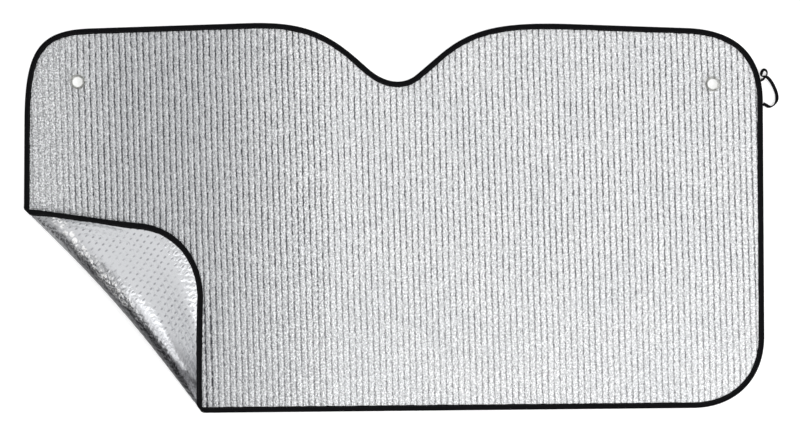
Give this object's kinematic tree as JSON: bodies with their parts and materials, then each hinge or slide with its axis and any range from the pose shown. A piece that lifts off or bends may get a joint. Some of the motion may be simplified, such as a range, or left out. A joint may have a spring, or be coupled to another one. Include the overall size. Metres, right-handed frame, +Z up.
{
  "type": "car windscreen sunshade",
  "caption": "Flat sheet of metallised bubble film with a black taped edge and a mirror notch, laid out with its lower left corner folded over to show the back",
  "frame": {"origin": "on the ground, under the middle of the box around the shade as it lies, without the elastic loop", "axes": "X runs along the long bottom edge towards the side with the elastic loop, Y towards the edge with the mirror notch, Z up, away from the ground and out of the silver front"},
  "size_m": [1.3207, 0.6834, 0.0696],
  "materials": {
    "silver_film": "metallised film, silver, finely ribbed",
    "black_tape": "woven synthetic tape, matt black",
    "soft_vinyl": "soft clear to white vinyl, smooth",
    "black_elastic": "flat woven elastic, matt black"
  },
  "bodies": {
    "root": {"foil_panel": "silver_film", "edge_binding": "black_tape", "suction_cup_left": "soft_vinyl", "suction_cup_right": "soft_vinyl", "elastic_loop": "black_elastic"}
  },
  "joints": []
}
